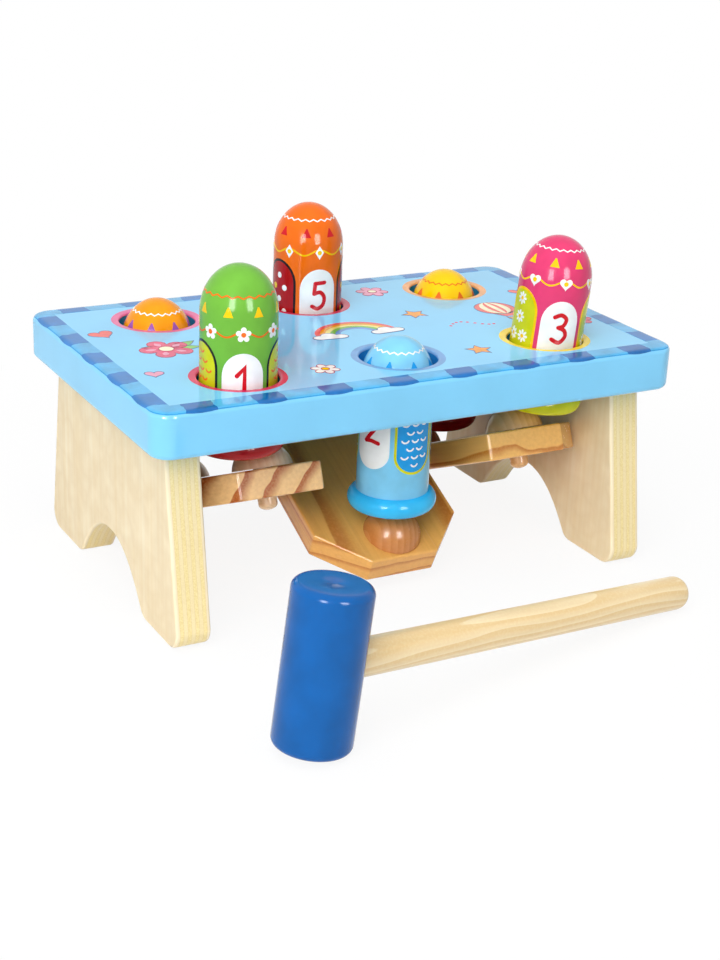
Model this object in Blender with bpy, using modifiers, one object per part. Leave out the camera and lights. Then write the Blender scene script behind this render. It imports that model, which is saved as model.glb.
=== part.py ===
"""Pounding bench: a drilled board on two legs, six pegs on three rocker plates, and a mallet in front.

Metres, +Z up. X runs along the board and Y from the front to the back. The origin is on the floor, at the
middle of the whole row, mallet included. A peg that is struck goes down in its hole, turns the rocker plate
of its column about the pivot rod, and lifts the other peg of the same column.
"""
import math

import bmesh
import bpy
from mathutils import Matrix, Vector

# Board
BOARD_LENGTH = 0.243
BOARD_DEPTH = 0.1495
BOARD_THICKNESS = 0.0193
BOARD_CORNER_RADIUS = 0.009
BOARD_EDGE_RADIUS = 0.0026
BENCH_HEIGHT = 0.1016

# Peg holes, in three columns of two
COLUMN_INSET = 0.0483
ROW_PITCH = 0.0852
PEG_PLAY = 0.0010
HOLE_RIM_RADIUS = 0.0010

# Pegs
PEG_RADIUS = 0.0156
PEG_LENGTH = 0.0758
PEG_DOME_HEIGHT = 0.0190
FLANGE_RADIUS = 0.0192
FLANGE_HEIGHT = 0.0084
LEAN_OF_LOOSE_PEG = math.radians(5.0)

# Legs
LEG_THICKNESS = 0.0150
LEG_INSET = 0.0090
LEG_TOP_HALF_DEPTH = 0.0606
LEG_FOOT_HALF_DEPTH = 0.0731
FOOT_OUTER_RADIUS = 0.0080
FOOT_INNER_RADIUS = 0.0070
LEG_EDGE_RADIUS = 0.0012
ARCH_HALF_WIDTH = 0.0362
ARCH_HEIGHT = 0.0252
ARCH_POWER = 2.2

# Rocker plates and their pivot rod
PIVOT_HEIGHT = 0.0357
ROD_DIAMETER = 0.0060
ROD_DEPTH_IN_LEG = 0.0080
PLATE_THICKNESS = 0.0120
PLATE_HALF_LENGTH = 0.0600
PLATE_CHAMFER_LENGTH = 0.0199
PLATE_EDGE_RADIUS = 0.0010
MIDDLE_PLATE_HALF_WIDTH = 0.0350
MIDDLE_PLATE_END_HALF_WIDTH = 0.0160
PLATE_GAP = 0.0051
OUTER_PLATE_CHAMFER_WIDTH = 0.0187
OUTER_PLATE_LEG_GAP = 0.0009
# How far the raised end of each plate stands up, in degrees
PLATE_TILTS = {"left": 23.3, "middle": 24.3, "right": 23.5}

# Knobs on the rocker plates
KNOB_RADIUS = 0.0129
KNOB_CENTRE_UNDER_BASE = 0.0016
KNOB_ARM = 0.0460
# How far the knobs of each column lie nearer to the middle of the bench than its pegs
KNOB_INBOARD = {"left": 0.0128, "middle": 0.0, "right": 0.0103}
SHANK_DIAMETER = 0.0080
SHANK_REACH = 0.0052

# Leg dowels
DOWEL_DIAMETER = 0.0080
DOWEL_LENGTH = 0.0240
DOWEL_HALF_SPACING = 0.0400

# Mallet, standing on the rim of its head and the end of its handle
MALLET_PLACE = (-0.0972, -0.1607)
MALLET_TURN = math.radians(12.3)
HEAD_RADIUS = 0.0151
HEAD_LENGTH = 0.0627
HEAD_EDGE_RADIUS = 0.0030
HANDLE_RADIUS = 0.0072
HANDLE_REACH = 0.2016
HANDLE_DEPTH_IN_HEAD = 0.0120
HANDLE_END_RADIUS = 0.0055

# Clearances
TOUCH = 0.0003
PEG_SEAT = 0.0007
CUTTER_EXTRA = 0.0020

# Facets
ROUND_STEPS = 32
SMALL_STEPS = 20
CORNER_STEPS = 5
ARCH_STEPS = 11
MERGE = 0.00001
SHARP_ANGLE = math.radians(35.0)

# Sizes that follow from those above
UNDERSIDE = BENCH_HEIGHT - BOARD_THICKNESS
BOARD_MIDDLE = BENCH_HEIGHT - BOARD_THICKNESS / 2
COLUMN_PITCH = BOARD_LENGTH / 2 - COLUMN_INSET
HOLE_RADIUS = PEG_RADIUS + PEG_PLAY
LEG_OUTER_FACE = BOARD_LENGTH / 2 - LEG_INSET
LEG_INNER_FACE = LEG_OUTER_FACE - LEG_THICKNESS
LEG_TOP = UNDERSIDE - TOUCH
OUTER_PLATE_INNER_SIDE = MIDDLE_PLATE_HALF_WIDTH + PLATE_GAP
OUTER_PLATE_OUTER_SIDE = LEG_INNER_FACE - OUTER_PLATE_LEG_GAP
KNOB_BASE = PLATE_THICKNESS / 2 + TOUCH
KNOB_CENTRE = KNOB_BASE - KNOB_CENTRE_UNDER_BASE
MALLET_AXIS_HEIGHT = HEAD_LENGTH / 2
HANDLE_INNER_END = HEAD_RADIUS - HANDLE_DEPTH_IN_HEAD

# Colour, roughness and metallic value of each material
MATERIALS = {
    "blue_lacquer": ((0.25, 0.60, 0.90), 0.22, 0.0),
    "plywood": ((0.78, 0.64, 0.42), 0.50, 0.0),
    "dowel_birch": ((0.76, 0.60, 0.40), 0.60, 0.0),
    "rod_steel": ((0.56, 0.56, 0.57), 0.35, 1.0),
    "rocker_pine": ((0.66, 0.40, 0.15), 0.30, 0.0),
    "knob_beech": ((0.80, 0.62, 0.42), 0.32, 0.0),
    "green_paint": ((0.20, 0.50, 0.06), 0.20, 0.0),
    "sky_paint": ((0.25, 0.63, 0.92), 0.20, 0.0),
    "pink_paint": ((0.80, 0.09, 0.22), 0.20, 0.0),
    "orange_paint": ((0.88, 0.20, 0.02), 0.20, 0.0),
    "yellow_paint": ((0.95, 0.66, 0.01), 0.20, 0.0),
    "mallet_blue": ((0.02, 0.14, 0.47), 0.18, 0.0),
    "handle_wood": ((0.82, 0.66, 0.45), 0.45, 0.0),
}

# Paint of the peg in each hole, by column and row
PEG_PAINTS = {
    ("left", "front"): "green_paint",
    ("middle", "front"): "sky_paint",
    ("right", "front"): "pink_paint",
    ("left", "back"): "orange_paint",
    ("middle", "back"): "orange_paint",
    ("right", "back"): "yellow_paint",
}
COLUMNS = {"left": -1, "middle": 0, "right": 1}
ROWS = {"front": -1, "back": 1}
# The end of each rocker plate that is up
RAISED_ROW = {"left": "front", "middle": "back", "right": "front"}


def clear_scene():
    for item in list(bpy.data.objects):
        bpy.data.objects.remove(item, do_unlink=True)


def new_collection(name):
    collection = bpy.data.collections.new(name)
    bpy.context.scene.collection.children.link(collection)
    return collection


def make_material(name):
    colour, roughness, metallic = MATERIALS[name]
    material = bpy.data.materials.get(name) or bpy.data.materials.new(name)
    material.use_nodes = True
    shader = material.node_tree.nodes["Principled BSDF"]
    shader.inputs["Base Color"].default_value = (*colour, 1.0)
    shader.inputs["Roughness"].default_value = roughness
    shader.inputs["Metallic"].default_value = metallic
    material.diffuse_color = (*colour, 1.0)
    return material


def add_object(name, mesh, collection, material=None, parent=None):
    thing = bpy.data.objects.new(name, mesh)
    collection.objects.link(thing)
    thing.parent = parent
    if material:
        mesh.materials.append(make_material(material))
    return thing


def add_empty(name, collection, place, parent=None):
    empty = bpy.data.objects.new(name, None)
    empty.empty_display_size = 0.02
    collection.objects.link(empty)
    empty.parent = parent
    empty.location = place
    return empty


def hide_cutter(thing):
    thing.hide_render = True
    thing.display_type = "WIRE"
    return thing


def smooth(mesh):
    mesh.shade_smooth()
    mesh.set_sharp_from_angle(angle=SHARP_ANGLE)


def arc(centre, radii, start, end, steps):
    """Points of an elliptical arc about a centre, from one angle to the other, in degrees."""
    points = []
    for step in range(steps + 1):
        angle = math.radians(start + (end - start) * step / steps)
        points.append((centre[0] + radii[0] * math.cos(angle), centre[1] + radii[1] * math.sin(angle)))
    return points


def turned(name, profile, collection, steps, material=None, parent=None):
    """A shape turned about Z, from a profile of (radius, height) that runs from its top to its bottom."""
    mesh = bpy.data.meshes.new(name)
    form = bmesh.new()
    corners = [form.verts.new((radius, 0.0, height)) for radius, height in profile]
    for first, second in zip(corners, corners[1:]):
        form.edges.new((first, second))
    form.to_mesh(mesh)
    form.free()
    thing = add_object(name, mesh, collection, material, parent)
    screw = thing.modifiers.new("turning", "SCREW")
    screw.axis = "Z"
    screw.steps = steps
    screw.render_steps = steps
    screw.use_merge_vertices = True
    screw.merge_threshold = MERGE
    screw.use_smooth_shade = True
    screw.use_normal_calculate = False
    return thing


def settle(thing):
    """Swap an object's modifiers for the mesh that they give."""
    graph = bpy.context.evaluated_depsgraph_get()
    mesh = bpy.data.meshes.new_from_object(thing.evaluated_get(graph))
    mesh.name = thing.name
    form = bmesh.new()
    form.from_mesh(mesh)
    bmesh.ops.remove_doubles(form, verts=form.verts, dist=MERGE)
    bmesh.ops.recalc_face_normals(form, faces=form.faces)
    form.to_mesh(mesh)
    form.free()
    thing.modifiers.clear()
    thing.data = mesh
    return thing


def flat_piece(name, outline, thickness, collection, material=None, parent=None, turn=None):
    """A flat outline given its thickness about its own plane, then turned out of that plane if asked."""
    curve = bpy.data.curves.new(name + "_outline", "CURVE")
    curve.dimensions = "2D"
    curve.fill_mode = "BOTH"
    curve.extrude = thickness / 2
    spline = curve.splines.new("POLY")
    spline.points.add(len(outline) - 1)
    for point, place in zip(spline.points, outline):
        point.co = (place[0], place[1], 0.0, 1.0)
    spline.use_cyclic_u = True
    drawn = bpy.data.objects.new(name + "_drawn", curve)
    collection.objects.link(drawn)
    bpy.context.view_layer.update()
    graph = bpy.context.evaluated_depsgraph_get()
    mesh = bpy.data.meshes.new_from_object(drawn.evaluated_get(graph))
    mesh.name = name
    bpy.data.objects.remove(drawn, do_unlink=True)
    form = bmesh.new()
    form.from_mesh(mesh)
    bmesh.ops.remove_doubles(form, verts=form.verts, dist=MERGE)
    bmesh.ops.recalc_face_normals(form, faces=form.faces)
    if turn:
        bmesh.ops.transform(form, matrix=turn, verts=form.verts)
    form.to_mesh(mesh)
    form.free()
    mesh.materials.clear()
    return add_object(name, mesh, collection, material, parent)


def round_edges(thing, radius, steps):
    bevel = thing.modifiers.new("rounding", "BEVEL")
    bevel.width = radius
    bevel.segments = steps
    bevel.limit_method = "ANGLE"
    bevel.angle_limit = SHARP_ANGLE
    bevel.use_clamp_overlap = True


def cut(thing, cutter):
    boolean = thing.modifiers.new("cut_" + cutter.name, "BOOLEAN")
    boolean.operation = "DIFFERENCE"
    boolean.solver = "EXACT"
    boolean.object = cutter


def cylinder(name, radius, length, place, axis, parent, collection, material=None):
    """A plain round bar centred on a place, along X, Y or Z of its parent."""
    mesh = bpy.data.meshes.new(name)
    form = bmesh.new()
    bmesh.ops.create_cone(form, cap_ends=True, segments=SMALL_STEPS, radius1=radius, radius2=radius,
                          depth=length)
    form.to_mesh(mesh)
    form.free()
    smooth(mesh)
    bar = add_object(name, mesh, collection, material, parent)
    bar.location = place
    bar.rotation_euler = Vector((0.0, 0.0, 1.0)).rotation_difference(Vector(axis)).to_euler()
    return bar


def bore(name, radius, length, place, axis, parent, collection):
    """A cutter for a round bore centred on a place."""
    return hide_cutter(cylinder(name, radius, length, place, axis, parent, collection))


def finish_smooth(thing):
    """Apply what is on a piece and shade its round faces smooth."""
    bpy.context.view_layer.update()
    settle(thing)
    smooth(thing.data)
    return thing


# Outlines

def board_outline():
    half_x, half_y, radius = BOARD_LENGTH / 2, BOARD_DEPTH / 2, BOARD_CORNER_RADIUS
    centres = ((half_x - radius, half_y - radius), (-half_x + radius, half_y - radius),
               (-half_x + radius, -half_y + radius), (half_x - radius, -half_y + radius))
    outline = []
    for quarter, centre in enumerate(centres):
        outline += arc(centre, (radius, radius), 90 * quarter, 90 * quarter + 90, CORNER_STEPS)
    return outline


def arch_half():
    """Half of a leg's arch, from its foot's rounded inner corner up to the crown: steep, then round."""
    slope = math.atan(ARCH_POWER * ARCH_HEIGHT / ARCH_HALF_WIDTH)
    radius = FOOT_INNER_RADIUS
    centre = (ARCH_HALF_WIDTH + radius * math.tan(slope / 2), radius)
    points = arc(centre, (radius, radius), -90, -90 - math.degrees(slope), CORNER_STEPS)
    for step in range(ARCH_STEPS + 1):
        share = math.cos(math.radians(90 * step / ARCH_STEPS))
        height = ARCH_HEIGHT * (1 - share ** ARCH_POWER)
        if height > points[-1][1]:
            points.append((ARCH_HALF_WIDTH * share, height))
    return points


def leg_outline():
    """A leg from the side, as (depth, height) pairs: slanted edges, two feet and an arch between them."""
    radius = FOOT_OUTER_RADIUS
    rim = arc((LEG_FOOT_HALF_DEPTH - radius, radius), (radius, radius), 0, -90, CORNER_STEPS)
    arch = arch_half()
    right = [(LEG_TOP_HALF_DEPTH, LEG_TOP)] + rim + arch
    left = [(-depth, height) for depth, height in reversed(right[:-1])]
    return right + left


def plate_outline(column):
    """A rocker plate from above, as (across, along) pairs from the middle of the bench."""
    end = PLATE_HALF_LENGTH
    shoulder = PLATE_HALF_LENGTH - PLATE_CHAMFER_LENGTH
    if column == "middle":
        side, corner = MIDDLE_PLATE_HALF_WIDTH, MIDDLE_PLATE_END_HALF_WIDTH
        quarter = [(side, shoulder), (corner, end)]
        half = quarter + [(-x, y) for x, y in reversed(quarter)]
    else:
        side = OUTER_PLATE_OUTER_SIDE
        corner = side - OUTER_PLATE_CHAMFER_WIDTH
        half = [(side, shoulder), (corner, end), (OUTER_PLATE_INNER_SIDE, end)]
    outline = half + [(x, -y) for x, y in reversed(half)]
    if column == "left":
        outline = [(-x, y) for x, y in outline]
    return outline


def peg_profile():
    dome = arc((0.0, PEG_LENGTH - PEG_DOME_HEIGHT), (PEG_RADIUS, PEG_DOME_HEIGHT), 90, 0, 7)
    roll = FLANGE_RADIUS - PEG_RADIUS
    flange = arc((PEG_RADIUS, FLANGE_HEIGHT / 2), (roll, FLANGE_HEIGHT / 2), 90, -90, 6)
    return [(0.0, PEG_LENGTH)] + dome[1:] + flange + [(0.0, 0.0)]


def knob_profile():
    """The cap of a ball, and the shank under it. Height 0 is the middle of the plate."""
    rim_angle = math.degrees(math.asin(KNOB_CENTRE_UNDER_BASE / KNOB_RADIUS))
    shank = SHANK_DIAMETER / 2
    tip = -PLATE_THICKNESS / 2 - SHANK_REACH
    ball = arc((0.0, KNOB_CENTRE), (KNOB_RADIUS, KNOB_RADIUS), 90, rim_angle, 6)
    end = arc((0.0, tip + shank * 0.6), (shank, shank * 0.6), 0, -90, 3)
    return [(0.0, KNOB_CENTRE + KNOB_RADIUS)] + ball[1:] + [(shank, KNOB_BASE)] + end[:-1] + [(0.0, tip)]


def head_profile():
    radius, edge = HEAD_RADIUS, HEAD_EDGE_RADIUS
    top = arc((radius - edge, HEAD_LENGTH - edge), (edge, edge), 90, 0, 4)
    bottom = arc((radius - edge, edge), (edge, edge), 0, -90, 4)
    return [(0.0, HEAD_LENGTH)] + top + bottom + [(0.0, 0.0)]


def handle_profile():
    """The handle along its own axis, from its rounded free end at the top to the end inside the head."""
    radius, edge = HANDLE_RADIUS, HANDLE_END_RADIUS
    end = arc((radius - edge, HANDLE_REACH - edge), (edge, edge), 90, 0, 4)
    return [(0.0, HANDLE_REACH)] + end + [(radius, HANDLE_INNER_END), (0.0, HANDLE_INNER_END)]


# Pieces

def make_board(parts, cutters, root):
    board = flat_piece("top_board", board_outline(), BOARD_THICKNESS, parts, "blue_lacquer", root)
    board.location = (0.0, 0.0, BOARD_MIDDLE)
    round_edges(board, BOARD_EDGE_RADIUS, 3)
    rim = HOLE_RIM_RADIUS
    half = BOARD_THICKNESS / 2
    mouth = HOLE_RADIUS + rim
    over = half + CUTTER_EXTRA
    upper = arc((mouth, half - rim), (rim, rim), 90, 180, 2)
    lower = arc((mouth, -half + rim), (rim, rim), 180, 270, 2)
    profile = [(0.0, over), (mouth, over)] + upper + lower + [(mouth, -over), (0.0, -over)]
    for column, side in COLUMNS.items():
        for row, way in ROWS.items():
            hole = turned(f"hole_cutter_{column}_{row}", profile, cutters, ROUND_STEPS, None, root)
            hole.location = (side * COLUMN_PITCH, way * ROW_PITCH / 2, BOARD_MIDDLE)
            cut(board, hide_cutter(hole))
    return board


def make_leg(column, board, parts, cutters, root):
    side = COLUMNS[column]
    onto_side = Matrix(((0, 0, 1, 0), (1, 0, 0, 0), (0, 1, 0, 0), (0, 0, 0, 1)))
    leg = flat_piece(f"leg_{column}", leg_outline(), LEG_THICKNESS, parts, "plywood", root, onto_side)
    middle = side * (LEG_INNER_FACE + LEG_THICKNESS / 2)
    leg.location = (middle, 0.0, 0.0)
    round_edges(leg, LEG_EDGE_RADIUS, 2)
    rod_place = (side * LEG_INNER_FACE, 0.0, PIVOT_HEIGHT)
    cut(leg, bore(f"rod_cutter_leg_{column}", ROD_DIAMETER / 2 + TOUCH, 2 * (ROD_DEPTH_IN_LEG + TOUCH),
                  rod_place, (1, 0, 0), root, cutters))
    for row, way in ROWS.items():
        place = (middle, way * DOWEL_HALF_SPACING, UNDERSIDE)
        hole = bore(f"dowel_cutter_{column}_{row}", DOWEL_DIAMETER / 2 + TOUCH, DOWEL_LENGTH + 2 * TOUCH,
                    place, (0, 0, 1), root, cutters)
        cut(leg, hole)
        cut(board, hole)
        cylinder(f"leg_dowel_{column}_{row}", DOWEL_DIAMETER / 2, DOWEL_LENGTH, place, (0, 0, 1), root,
                 parts, "dowel_birch")
    return leg


def make_rod(parts, root):
    reach = LEG_INNER_FACE + ROD_DEPTH_IN_LEG
    place = (0.0, 0.0, PIVOT_HEIGHT)
    return cylinder("pivot_rod", ROD_DIAMETER / 2, 2 * reach, place, (1, 0, 0), root, parts, "rod_steel")


def knob_x(column):
    return COLUMNS[column] * (COLUMN_PITCH - KNOB_INBOARD[column])


def crown_height(column, row):
    """Height of a knob's crown, with its rocker plate at rest."""
    tilt = math.radians(PLATE_TILTS[column])
    rise = math.sin(tilt) * KNOB_ARM
    if RAISED_ROW[column] != row:
        rise = -rise
    return PIVOT_HEIGHT + rise + KNOB_CENTRE * math.cos(tilt) + KNOB_RADIUS


def make_rocker(column, parts, cutters, root):
    """A rocker plate and its two knobs, under an empty that lies on the pivot rod and carries the tilt."""
    axis = add_empty(f"rocker_axis_{column}", parts, (0.0, 0.0, PIVOT_HEIGHT), root)
    tilt = math.radians(PLATE_TILTS[column])
    axis.rotation_euler = (-tilt if RAISED_ROW[column] == "front" else tilt, 0.0, 0.0)
    outline = plate_outline(column)
    plate = flat_piece(f"rocker_plate_{column}", outline, PLATE_THICKNESS, parts, "rocker_pine", axis)
    round_edges(plate, PLATE_EDGE_RADIUS, 2)
    rod_radius = ROD_DIAMETER / 2 + TOUCH
    cut(plate, bore(f"rod_cutter_plate_{column}", rod_radius, 2 * LEG_OUTER_FACE, (0.0, 0.0, 0.0), (1, 0, 0),
                    axis, cutters))
    for row, way in ROWS.items():
        place = (knob_x(column), way * KNOB_ARM, 0.0)
        cut(plate, bore(f"shank_cutter_{column}_{row}", SHANK_DIAMETER / 2 + TOUCH,
                        PLATE_THICKNESS + 2 * CUTTER_EXTRA, place, (0, 0, 1), axis, cutters))
        knob = turned(f"knob_{column}_{row}", knob_profile(), parts, SMALL_STEPS, "knob_beech", axis)
        knob.location = place
        finish_smooth(knob)
    return plate


def make_peg(column, row, parts, root):
    """A peg standing on its knob, with its origin at its foot. The loose one leans away along its slide."""
    lean = LEAN_OF_LOOSE_PEG if (column, row) == ("right", "front") else 0.0
    slope = math.tan(lean)
    hole_x = COLUMNS[column] * COLUMN_PITCH
    bearing = crown_height(column, row) + PEG_SEAT + slope * (knob_x(column) - hole_x)
    foot = (bearing + slope ** 2 * BOARD_MIDDLE) / (1 + slope ** 2)
    peg = turned(f"peg_{column}_{row}", peg_profile(), parts, ROUND_STEPS, PEG_PAINTS[column, row], root)
    peg.location = (hole_x - slope * (BOARD_MIDDLE - foot), ROWS[row] * ROW_PITCH / 2, foot)
    peg.rotation_euler = (0.0, lean, 0.0)
    return finish_smooth(peg)


def mallet_tip():
    """How far the mallet tips so that the lower rim of its head and the end of its handle meet the floor."""
    drop = MALLET_AXIS_HEIGHT - HANDLE_RADIUS
    inner = HEAD_RADIUS - HEAD_EDGE_RADIUS
    outer = HANDLE_REACH - HANDLE_END_RADIUS
    rise = drop + HANDLE_END_RADIUS - HEAD_EDGE_RADIUS
    run = outer - inner
    return math.atan2(rise, run) - math.asin((HANDLE_END_RADIUS - HEAD_EDGE_RADIUS) / math.hypot(rise, run))


def make_mallet(parts, cutters, root):
    """The mallet under an empty at the middle of its head's base, turned and tipped as it stands."""
    tip = mallet_tip()
    lift = (HEAD_RADIUS - HEAD_EDGE_RADIUS) * math.sin(tip) + HEAD_EDGE_RADIUS * (1 - math.cos(tip))
    stand = add_empty("mallet_stand", parts, (*MALLET_PLACE, lift), root)
    stand.rotation_euler = (0.0, tip, MALLET_TURN)
    head = turned("mallet_head", head_profile(), parts, ROUND_STEPS, "mallet_blue", stand)
    bottom, mouth = HANDLE_INNER_END - TOUCH, HEAD_RADIUS + CUTTER_EXTRA
    socket = bore("handle_cutter", HANDLE_RADIUS + TOUCH, mouth - bottom,
                  ((mouth + bottom) / 2, 0.0, MALLET_AXIS_HEIGHT), (1, 0, 0), stand, cutters)
    settle(head)
    cut(head, socket)
    handle = turned("mallet_handle", handle_profile(), parts, SMALL_STEPS, "handle_wood", stand)
    handle.location = (0.0, 0.0, MALLET_AXIS_HEIGHT)
    handle.rotation_euler = (0.0, math.radians(90.0), 0.0)
    finish_smooth(handle)
    return head


def centre_on_row(root, parts):
    """Move the root so that the origin is under the middle of everything."""
    bpy.context.view_layer.update()
    graph = bpy.context.evaluated_depsgraph_get()
    places = []
    for thing in parts.objects:
        if thing.type == "MESH":
            seen = thing.evaluated_get(graph)
            places += [seen.matrix_world @ vertex.co for vertex in seen.data.vertices]
    for axis in (0, 1):
        values = [place[axis] for place in places]
        root.location[axis] -= (max(values) + min(values)) / 2


def main():
    clear_scene()
    parts = new_collection("pounding_bench")
    cutters = new_collection("cutters")
    root = add_empty("bench_root", parts, (0.0, 0.0, 0.0))
    board = make_board(parts, cutters, root)
    cut_pieces = [board]
    for column in ("left", "right"):
        cut_pieces.append(make_leg(column, board, parts, cutters, root))
    make_rod(parts, root)
    for column in COLUMNS:
        cut_pieces.append(make_rocker(column, parts, cutters, root))
        for row in ROWS:
            make_peg(column, row, parts, root)
    cut_pieces.append(make_mallet(parts, cutters, root))
    for piece in cut_pieces:
        finish_smooth(piece)
    centre_on_row(root, parts)


main()
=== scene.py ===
"""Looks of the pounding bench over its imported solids: finer pieces, paint, print, wood, light and camera.

Metres, +Z up. X runs along the board, Y from the mallet to the back, and the floor is at Z 0. Paint and print
are drawn in millimetres, on the surface rolled out flat.
"""
from collections import namedtuple
from math import (asin, atan, atan2, ceil, copysign, cos, degrees, dist, floor,
                  hypot, pi, radians, sin, sqrt, tan)

import bmesh
import bpy
from mathutils import Matrix, Vector


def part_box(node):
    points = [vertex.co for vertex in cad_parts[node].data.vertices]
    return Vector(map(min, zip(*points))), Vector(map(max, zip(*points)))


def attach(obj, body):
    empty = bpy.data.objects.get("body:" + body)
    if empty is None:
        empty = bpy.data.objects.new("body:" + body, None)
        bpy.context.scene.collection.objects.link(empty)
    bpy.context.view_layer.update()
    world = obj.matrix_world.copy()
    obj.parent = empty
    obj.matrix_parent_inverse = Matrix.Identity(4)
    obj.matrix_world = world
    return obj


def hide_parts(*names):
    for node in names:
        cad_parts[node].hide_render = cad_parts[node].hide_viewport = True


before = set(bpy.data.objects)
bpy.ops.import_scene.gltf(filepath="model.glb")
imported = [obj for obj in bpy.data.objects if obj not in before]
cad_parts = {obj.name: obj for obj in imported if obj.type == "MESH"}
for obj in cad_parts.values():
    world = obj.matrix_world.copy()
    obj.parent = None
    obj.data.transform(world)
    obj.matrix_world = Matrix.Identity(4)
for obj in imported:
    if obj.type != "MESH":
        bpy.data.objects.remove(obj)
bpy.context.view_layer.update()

MM = 0.001

# Sizes of the solids that the finer pieces follow
BOARD_CORNER_RADIUS = 0.009
BOARD_EDGE_RADIUS = 0.0026
HOLE_RADIUS = 0.0166
HOLE_RIM_RADIUS = 0.0010
RING_RADIUS = 0.0199
COLUMN_PITCH = 0.0732
ROW_PITCH = 0.0852
PEG_RADIUS = 0.0156
PEG_LENGTH = 0.0758
DOME_HEIGHT = 0.0190
FLANGE_RADIUS = 0.0192
FLANGE_HEIGHT = 0.0084
LOOSE_PEG_FOOT = (0.071386, 0.00788, 0.07121)
LOOSE_PEG_LEAN = radians(5.0)
LEG_TOP_HALF_DEPTH = 0.0606
LEG_FOOT_HALF_DEPTH = 0.0731
FOOT_OUTER_RADIUS = 0.0080
FOOT_INNER_RADIUS = 0.0070
LEG_EDGE_RADIUS = 0.0012
HALF_PLYWOOD = 0.0075
PLY = 0.00167
OUTER_PLY = (0.0057, 0.0060)
ARCH_HALF_WIDTH = 0.0362
ARCH_HEIGHT = 0.0252
ARCH_POWER = 2.2
ARCH_STEPS = 32
PIVOT_HEIGHT = 0.0357
PLATE_THICKNESS = 0.0120
PLATE_HALF_LENGTH = 0.0600
PLATE_SHOULDER = 0.0401
PLATE_EDGE_RADIUS = 0.0010
MIDDLE_PLATE_SIDE = 0.0350
MIDDLE_PLATE_CORNER = 0.0160
OUTER_PLATE_SIDES = (0.0401, 0.0966)
OUTER_PLATE_CORNER = 0.0779
PLATE_TILTS = {"left": -23.3, "middle": 24.3, "right": -23.5}
KNOB_RADIUS = 0.0129
KNOB_CENTRE = 0.0047
KNOB_BASE = 0.0063
KNOB_ARM = 0.0460
KNOB_COLUMNS = {"left": -0.0604, "middle": 0.0, "right": 0.0629}
SHANK_RADIUS = 0.0040
SHANK_TIP = -0.0112
SHANK_BORE_RADIUS = 0.0043
STAND_PLACE = (-0.0972, -0.11022, 0.001599)
MALLET_TURN = radians(12.3)
MALLET_TIP = radians(7.47)
HEAD_RADIUS = 0.0151
HEAD_LENGTH = 0.0627
HEAD_EDGE_RADIUS = 0.0030
HEAD_DIMPLE = ((0.0, 0.0003), (0.0006, 0.00025), (0.0014, 0.0))
HANDLE_RADIUS = 0.0072
HANDLE_REACH = 0.2016
HANDLE_INNER_END = 0.0031
HANDLE_END_RADIUS = 0.0055
TOUCH = 0.0003
CORNER_SOFTNESS = 1.3

COLUMNS = {"left": -1, "middle": 0, "right": 1}
ROWS = {"front": -1, "back": 1}

# Fineness
ROUND_STEPS = 72
CORNER_STEPS = 8
EDGE_STEPS = 6
SHARP = radians(35.0)
ON_AXIS = MM / 100

# Paint layers
LAYER = 0.00004
LAYER_SEAT = 0.00002
SLICE = 1.35

# Print on the board, in millimetres
HALF_BOARD = (121.5, 74.75)
# The band rolls over the board's rounded edge on this strip. Its deeper ink here is painted, for the
# reflection that pales the band on the top and fades on the rounding
EDGE_CURVE = [0.72, 0.9, 1.1]
BAND_CURVE = [1.1, 1.35, 1.7, 2.1, 2.6]
BAND_INSET = 9.4
BAND_STEP = 3.0
SQUARE_INSETS = EDGE_CURVE[:-1] + BAND_CURVE + [
    BAND_CURVE[-1] + (BAND_INSET - BAND_CURVE[-1]) * step / 4 for step in (1, 2, 3, 3.9)]
SQUARE_MIDDLE = 5
SQUARE_BULGE = 0.32
LONG_SIDE_SQUARE = 12.5
SHORT_SIDE_SQUARE = 14.0
SQUARES_ALONG = (-102.0, -73.0, -44.0, -15.0, 14.0, 43.0, 72.0, 101.0)
SQUARES_ACROSS = (-56.0, -28.0, 0.0, 28.0, 56.0)
FINE_STROKE = 0.4
BALLOON_RADIUS = 9.5

# Print on the pegs, in millimetres
ROUND_WAY = 2 * pi * PEG_RADIUS / MM
PANEL_COUNT = 5
PANEL_WIDTH = 17.3
PANEL_SPAN = (20.0, 53.0)
PANEL_RIM = 1.1
BADGE_WIDTH = 17.0
BADGE_SPAN = (21.0, 50.5)
NUMBER_HEIGHT = 38.6
NUMBER_STROKE = 1.8
BELT_HEIGHT = 58.0
BELT_COUNT = 7
WAVE_HEIGHT = 1.3
WAVE_STEPS = 98
CROWN_HEIGHT = 66.5
CROWN_COUNT = 8
CROWN_POINT = [(-2.0, -1.9), (2.0, -1.9), (0.3, 2.1), (-0.3, 2.1)]
ZIGZAG_HEIGHT = 72.5
ZIGZAG_STEPS = 40

# Camera, fitted to the photograph
IMAGE_LONG_SIDE = 960
FOCAL_PIXELS = 1740.005
OPTICAL_AXIS = (358.42, 497.71)
IMAGE_MIDDLE = (360.0, 480.0)
CAMERA_PLACE = (-0.350564, -0.591846, 0.318195)
CAMERA_TURN = (1.186138, -0.038981, -0.492781)

# Light
LAMP_AIM = (0.0, 0.03, 0.06)

# Each lamp: azimuth (0 in front of the bench, 90 at its right end), elevation, distance, size, radiance, and
# whether it lights surfaces or shines in them
LAMPS = {
    "overhead": (-45.0, 78.0, 1.6, (1.6, 1.6), 2.4, "light"),
    "front": (-46.0, 30.0, 1.5, (1.0, 0.8), 6.0, "light"),
    "window_left": (-48.0, 19.0, 1.2, (0.34, 0.48), 22.0, "shine"),
    "window_right": (4.0, 19.0, 1.2, (0.34, 0.48), 22.0, "shine"),
}

# How bright the surround and the floor by the toy look, and where the floor fades to white
SKY_FILL = 0.20
FLOOR_GLOW = 0.90
FLOOR_FADE = (0.14, 0.36)

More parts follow.
